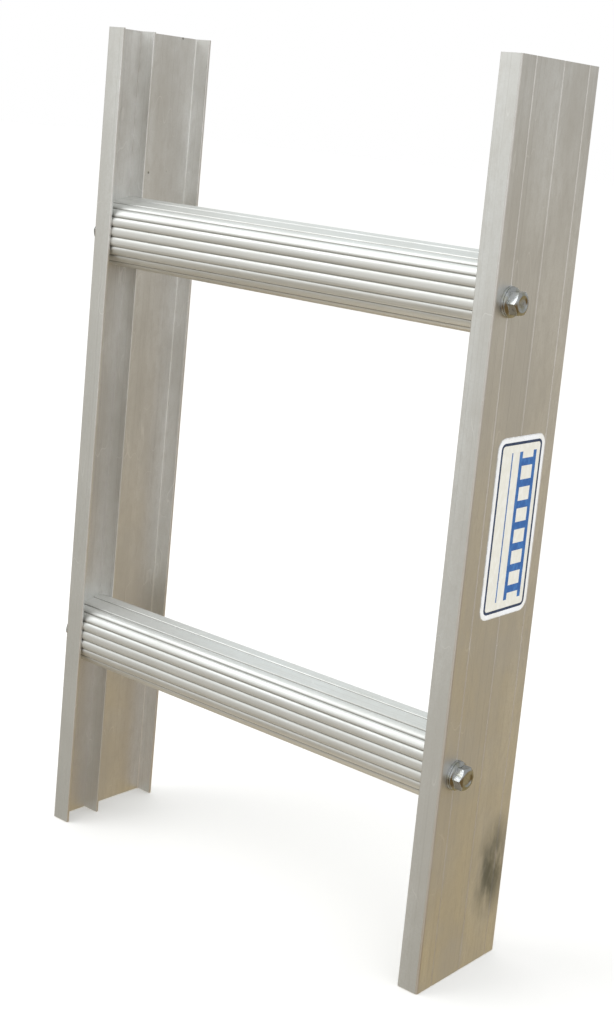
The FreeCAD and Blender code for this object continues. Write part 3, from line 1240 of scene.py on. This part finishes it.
@dataclass
class FlatWasher:
    """One stamped flat washer, with a rolled edge where the punch went in.

    Attributes:
        axis: The joint that it sits in.
        outer: Its outer diameter.
        inner: The diameter of its hole.
        rolled: The size of the rolled edge.
        rolled_steps: The number of faces across the rolled edge.
        burr: The size of the small bevel on the side towards the rail.
        around: The number of points in a ring.
    """

    axis: BoltAxis
    outer: float = 18.0
    inner: float = 8.4
    rolled: float = 0.35
    rolled_steps: int = 4
    burr: float = 0.08
    around: int = 72

    def build(self, finishes: Finishes) -> list[bpy.types.Object]:
        """Builds the washer in the place of its node.

        Args:
            finishes: The materials.

        Returns:
            The washer, alone in a list.
        """
        node = f"{self.axis.place}_plain_washer"
        near, far = self.axis.reach(node)
        angles = [2 * math.pi * step / self.around for step in range(self.around)]
        rings = [
            [self.axis.point(near, along, radius, angle) for angle in angles]
            for along, radius in self._profile(far - near)
        ]
        piece = make_piece(f"{self.axis.place}_flat_washer", *loft(rings, closed=True))
        piece.data.materials.append(finishes.zinc)
        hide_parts(node)
        return [piece]

    def _profile(self, thickness: float) -> list[tuple[float, float]]:
        """Works out the washer's section.

        Args:
            thickness: The washer's thickness.

        Returns:
            Heights over the rail and radii, from the hole's edge on the rail round to the same edge.
        """
        hole = self.inner / 2
        rim = self.outer / 2
        rolled = self.rolled
        profile = [(0.0, hole + self.burr), (0.0, rim - self.burr), (self.burr, rim)]
        for step in range(self.rolled_steps + 1):
            angle = math.pi / 2 * step / self.rolled_steps
            profile.append((
                thickness - rolled + rolled * math.sin(angle), rim - rolled + rolled * math.cos(angle)))
        profile += [(thickness, hole + rolled), (thickness - rolled, hole), (self.burr, hole)]
        return profile


@dataclass
class RungInserts:
    """The four tapped blocks inside the rung ends, kept as the frame gives them."""

    levels: tuple[Level, ...] = (Level.LOWER, Level.UPPER)

    def build(self, finishes: Finishes) -> list[bpy.types.Object]:
        """Gives each block its finish.

        Args:
            finishes: The materials.

        Returns:
            The blocks.
        """
        return [
            dress_node(f"{level.value}_{side.word}_rung_insert", finishes.insert)
            for level in self.levels for side in Side
        ]


@dataclass
class InformationLabel:
    """The label on the right rail: white film, a printed border and a plain picture of a ladder.

    Attributes:
        corner_radius: The radius of the film's corners.
        least_radius: The smallest radius that an outline inside the film keeps.
        corner_steps: The number of faces round a corner.
        film_layers: The film's outlines, from the rail outwards: each one's height as a share of the
            film's thickness, how far it lies inside the edge, and how much dust it holds.
        margin: The distance from the film's edge to the printed border.
        border_width: The width of the border's line.
        ink_height: How far the print stands above the film.
        picture_front: The front edge of the picture, as a share of the film's width.
        picture_back: Its back edge.
        picture_margin: The distance from the film's ends to the picture.
        picture_rungs: How many rungs the picture's ladder has.
        rail_width: The width of its rails.
        rung_width: The width of its rungs.
        rule_share: Where the thin rule begins, as a share of the film's width.
        rule_width: The width of the rule.
    """

    corner_radius: float = 7.0
    least_radius: float = 0.4
    corner_steps: int = 10
    film_layers: tuple[tuple[float, float, float], ...] = (
        (0.0, 0.0, 1.0), (0.55, 0.0, 1.0), (0.85, 0.12, 0.9),
        (1.0, 0.5, 0.4), (1.0, 1.4, 0.0), (1.0, 3.0, 0.0),
    )
    margin: float = 3.2
    border_width: float = 1.7
    ink_height: float = 0.03
    picture_front: float = 0.47
    picture_back: float = 0.83
    picture_margin: float = 9.5
    picture_rungs: int = 7
    rail_width: float = 3.2
    rung_width: float = 4.6
    rule_share: float = 0.3
    rule_width: float = 1.1

    def build(self, finishes: Finishes) -> list[bpy.types.Object]:
        """Builds the film and its prints in the place of the label's node.

        Args:
            finishes: The materials.

        Returns:
            The film, the panel, the border and the picture.
        """
        low, high = (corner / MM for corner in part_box("information_label"))
        film = self._film(low, high)
        film.data.materials.append(finishes.film)
        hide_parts("information_label")
        panel = self._panel(low, high)
        panel.data.materials.append(finishes.panel_ink)
        border = self._border(low, high)
        border.data.materials.append(finishes.border_ink)
        picture = self._picture(low, high)
        picture.data.materials.append(finishes.picture_ink)
        pieces = [film, panel, border, picture]
        return pieces

    def _outline(self, x: float, low: Vector, high: Vector, inset: float) -> Ring:
        """Draws a rounded rectangle inside the film's edge.

        Args:
            x: Where it lies along X.
            low: The lowest corner of the label's box.
            high: The highest corner of the box.
            inset: How far inside the film's edge it lies.

        Returns:
            The rectangle's points.
        """
        radius = max(self.corner_radius - inset, self.least_radius)
        corners = [
            (high.y - inset - radius, high.z - inset - radius, 0.0),
            (low.y + inset + radius, high.z - inset - radius, 0.5),
            (low.y + inset + radius, low.z + inset + radius, 1.0),
            (high.y - inset - radius, low.z + inset + radius, 1.5),
        ]
        ring = []
        for y, z, start in corners:
            for step in range(self.corner_steps + 1):
                angle = math.pi * (start + 0.5 * step / self.corner_steps)
                ring.append(Vector((x, y + radius * math.cos(angle), z + radius * math.sin(angle))))
        return ring

    def _film(self, low: Vector, high: Vector) -> bpy.types.Object:
        """Makes the film, with its cut edge pressed down a little.

        Args:
            low: The lowest corner of the label's box.
            high: The highest corner of the box.

        Returns:
            The film.
        """
        thickness = high.x - low.x
        rings = [
            self._outline(low.x + thickness * height, low, high, inset)
            for height, inset, _ in self.film_layers
        ]
        film = make_piece("label_film", *loft(rings))
        around = len(rings[0])
        mark_points(film, "rim", [dust for _, _, dust in self.film_layers for _ in range(around)])
        return film

    def _panel(self, low: Vector, high: Vector) -> bpy.types.Object:
        """Makes the printed ground inside the border.

        Args:
            low: The lowest corner of the label's box.
            high: The highest corner of the box.

        Returns:
            The panel.
        """
        inset = self.margin + self.border_width / 2
        rings = [
            self._outline(high.x + height, low, high, inset)
            for height in (-self.ink_height, self.ink_height / 2)
        ]
        return make_piece("label_panel_print", *loft(rings))

    def _border(self, low: Vector, high: Vector) -> bpy.types.Object:
        """Makes the printed line round the panel.

        Args:
            low: The lowest corner of the label's box.
            high: The highest corner of the box.

        Returns:
            The border.
        """
        bottom, top = high.x - self.ink_height, high.x + self.ink_height
        outer, inner = self.margin, self.margin + self.border_width
        rings = [
            self._outline(x, low, high, inset)
            for x, inset in ((bottom, outer), (top, outer), (top, inner), (bottom, inner))
        ]
        return make_piece("label_border_print", *loft(rings, closed=True))

    def _picture(self, low: Vector, high: Vector) -> bpy.types.Object:
        """Makes the printed picture of a ladder and the thin rule beside it.

        Args:
            low: The lowest corner of the label's box.
            high: The highest corner of the box.

        Returns:
            The picture and the rule as one piece.
        """
        width = high.y - low.y
        front = low.y + width * self.picture_front
        back = low.y + width * self.picture_back
        bottom = low.z + self.picture_margin
        top = high.z - self.picture_margin
        rule = low.y + width * self.rule_share
        bars = [
            (front, front + self.rail_width, bottom, top),
            (back - self.rail_width, back, bottom, top),
            (rule, rule + self.rule_width, bottom, top),
        ]
        pitch = (top - bottom) / self.picture_rungs
        for index in range(self.picture_rungs):
            middle = bottom + (index + 0.5) * pitch
            bars.append((
                front + self.rail_width, back - self.rail_width,
                middle - self.rung_width / 2, middle + self.rung_width / 2))
        points: Ring = []
        faces: list[Face] = []
        for near_y, far_y, near_z, far_z in bars:
            corners = ((near_y, near_z), (far_y, near_z), (far_y, far_z), (near_y, far_z))
            bar_points, bar_faces = loft([
                [Vector((x, y, z)) for y, z in corners]
                for x in (high.x - self.ink_height, high.x + self.ink_height)
            ])
            shift = len(points)
            points += bar_points
            faces += [tuple(index + shift for index in face) for face in bar_faces]
        return make_piece("label_ladder_print", points, faces)


# ---------------------------------------------------------------- the studio


@dataclass(frozen=True)
class Softbox:
    """One soft lamp.

    Attributes:
        name: The lamp's name.
        direction: The way from the section towards the lamp.
        distance: How far off it stands, in metres.
        size: Its width and height in metres.
        brightness: How bright its face looks, where 1 is paper white.
        colour: The colour of its light.
    """

    name: str
    direction: tuple[float, float, float]
    distance: float
    size: tuple[float, float]
    brightness: float
    colour: str = "#FFFFFF"

    def place(self, target: Vector) -> None:
        """Hangs the lamp so that it faces the section.

        Args:
            target: The point that it faces.
        """
        lamp = bpy.data.lights.new(self.name, "AREA")
        lamp.shape = "RECTANGLE"
        lamp.size, lamp.size_y = self.size
        lamp.color = linear(self.colour)[:3]
        lamp.energy = self.brightness * math.pi * self.size[0] * self.size[1]
        holder = bpy.data.objects.new(self.name, lamp)
        bpy.context.scene.collection.objects.link(holder)
        way = Vector(self.direction).normalized()
        holder.location = target + way * self.distance
        holder.rotation_euler = way.to_track_quat("Z", "Y").to_euler()
        holder.visible_camera = False


@dataclass(frozen=True)
class Wall:
    """One broad pale or dark region round the section, which its metal mirrors.

    Attributes:
        way: The direction towards the middle of the region.
        edge: How far the region reaches, as two cosines: where it begins and where it is full.
        colour: Its colour.
    """

    way: tuple[float, float, float]
    edge: tuple[float, float]
    colour: str


@dataclass
class Studio:
    """A pale floor, a soft lamp and the walls that the metal mirrors.

    Attributes:
        floor_size: The floor's width in metres.
        floor_gap: How far the floor lies below the rails' ends, in metres.
        floor_glow: How much light the floor adds, so that it stays pale to its far edge.
        paper: The colour of the walls, wherever they aren't mirrored.
        ground: What the metal mirrors where it faces none of the walls' regions.
        walls: The regions, each laid over the ones before it.
        lamp: The one lamp.
    """

    floor_size: float = 40.0
    floor_gap: float = 0.0004
    floor_glow: float = 0.16
    paper: str = "#FFFFFF"
    ground: str = "#8A7149"
    walls: tuple[Wall, ...] = (
        Wall((0.0, 0.0, -1.0), (0.65, 0.95), "#F2EAD8"),
        Wall((0.0, 0.0, 1.0), (-0.25, 0.25), "#ECEEEC"),
        Wall((0.0, 0.0, 1.0), (0.25, 0.65), "#E2E8E8"),
        Wall((0.6, 0.75, 0.5), (0.62, 0.93), "#C4C4C2"),
        Wall((0.72, -0.69, 0.4), (0.6, 0.95), "#FFFFFF"),
        Wall((0.22, 0.8, -0.6), (0.75, 0.97), "#BBA981"),
        Wall((-0.62, -0.62, -0.48), (0.75, 0.97), "#A6A399"),
        Wall((-0.3, -0.94, 0.15), (0.84, 0.99), "#F9FBFA"),
    )
    lamp: Softbox = Softbox("key_softbox", (-0.463, -0.52, 0.71), 2.1, (1.15, 1.25), 2.2)

    def build(self) -> None:
        """Builds the floor, the lamp and the surroundings."""
        low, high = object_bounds()
        self._floor(low)
        self.lamp.place((low + high) / 2)
        self._surroundings()
        bpy.context.scene.view_settings.view_transform = "Standard"

    def _floor(self, low: Vector) -> None:
        """Lays the floor just under the section.

        Args:
            low: The lowest corner of the section's box.
        """
        half = self.floor_size / 2
        z = low.z - self.floor_gap
        mesh = bpy.data.meshes.new("floor")
        mesh.from_pydata([(-half, -half, z), (half, -half, z), (half, half, z), (-half, half, z)], [],
                         [(0, 1, 2, 3)])
        floor = bpy.data.objects.new("floor", mesh)
        bpy.context.scene.collection.objects.link(floor)
        floor.data.materials.append(PaintedBoard(glow=self.floor_glow).material())
        floor.visible_glossy = False
        floor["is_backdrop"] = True

    def _surroundings(self) -> None:
        """Makes the walls, which look white themselves and show their tones only in reflections."""
        world = bpy.data.worlds.new("studio_walls")
        world.use_nodes = True
        bpy.context.scene.world = world
        tree = world.node_tree
        tree.nodes.clear()
        direction = add_node(tree, "ShaderNodeTexCoord").outputs["Generated"]
        tone: bpy.types.NodeSocket | Colour = linear(self.ground)
        for wall in self.walls:
            nearness = add_node(
                tree, "ShaderNodeVectorMath", {"operation": "DOT_PRODUCT"},
                {0: direction, 1: Vector(wall.way).normalized()}).outputs["Value"]
            share = add_node(
                tree, "ShaderNodeMapRange", {"interpolation_type": "SMOOTHSTEP"},
                {"Value": nearness, "From Min": wall.edge[0], "From Max": wall.edge[1]}).outputs[0]
            tone = add_node(
                tree, "ShaderNodeMix", {"data_type": "RGBA"},
                {0: share, 6: tone, 7: linear(wall.colour)}).outputs[2]
        mirrored = add_node(tree, "ShaderNodeLightPath").outputs["Is Glossy Ray"]
        seen = add_node(
            tree, "ShaderNodeMix", {"data_type": "RGBA"}, {0: mirrored, 6: linear(self.paper), 7: tone})
        background = add_node(tree, "ShaderNodeBackground", inputs={"Color": seen.outputs[2]})
        add_node(tree, "ShaderNodeOutputWorld", inputs={"Surface": background.outputs[0]})


@dataclass(frozen=True)
class ViewCamera:
    """The camera, which looks at the section from the front right and a little above.

    Attributes:
        location: Its place in metres.
        rotation_deg: Its rotation about X, Y and Z.
        lens: Its focal length in millimetres.
        shift: The sideways and upward shift of its film.
        nearest: The distance from which it sees anything, in metres.
    """

    location: tuple[float, float, float] = (0.6559, -0.7912, 0.503)
    rotation_deg: tuple[float, float, float] = (80.022, -5.771, 37.821)
    lens: float = 57.355
    shift: tuple[float, float] = (-0.0757, -0.0946)
    nearest: float = 0.01

    def build(self) -> None:
        """Makes the camera and hands it to the scene."""
        optics = bpy.data.cameras.new("view_camera")
        optics.lens = self.lens
        optics.shift_x, optics.shift_y = self.shift
        optics.dof.use_dof = False
        optics.clip_start = self.nearest
        camera = bpy.data.objects.new("view_camera", optics)
        camera.location = self.location
        camera.rotation_euler = Euler([math.radians(angle) for angle in self.rotation_deg], "XYZ")
        bpy.context.scene.collection.objects.link(camera)
        bpy.context.scene.camera = camera


# ---------------------------------------------------------------- the whole scene


HEAD_TURNS = {
    (Level.UPPER, Side.RIGHT): 2.0,
    (Level.LOWER, Side.RIGHT): -1.0,
    (Level.UPPER, Side.LEFT): 14.0,
    (Level.LOWER, Side.LEFT): -9.0,
}


def main() -> None:
    """Builds the section and its studio, and reports every piece."""
    logging.basicConfig(level=logging.INFO, format="%(name)s: %(message)s")
    finishes = Finishes.prepared()
    parts: list[Part] = [Rails(), RungInserts()]
    for level in Level:
        parts.append(ReededRung(level))
        for side in Side:
            axis = BoltAxis(side, level)
            parts += [FlatWasher(axis), FlangeBolt(axis, HEAD_TURNS[level, side])]
    parts.append(InformationLabel())
    for part in parts:
        for piece in part.build(finishes):
            LOG.info("%s is done, with %d points", piece.name, len(piece.data.vertices))
    Studio().build()
    ViewCamera().build()


if __name__ == "__main__":
    main()
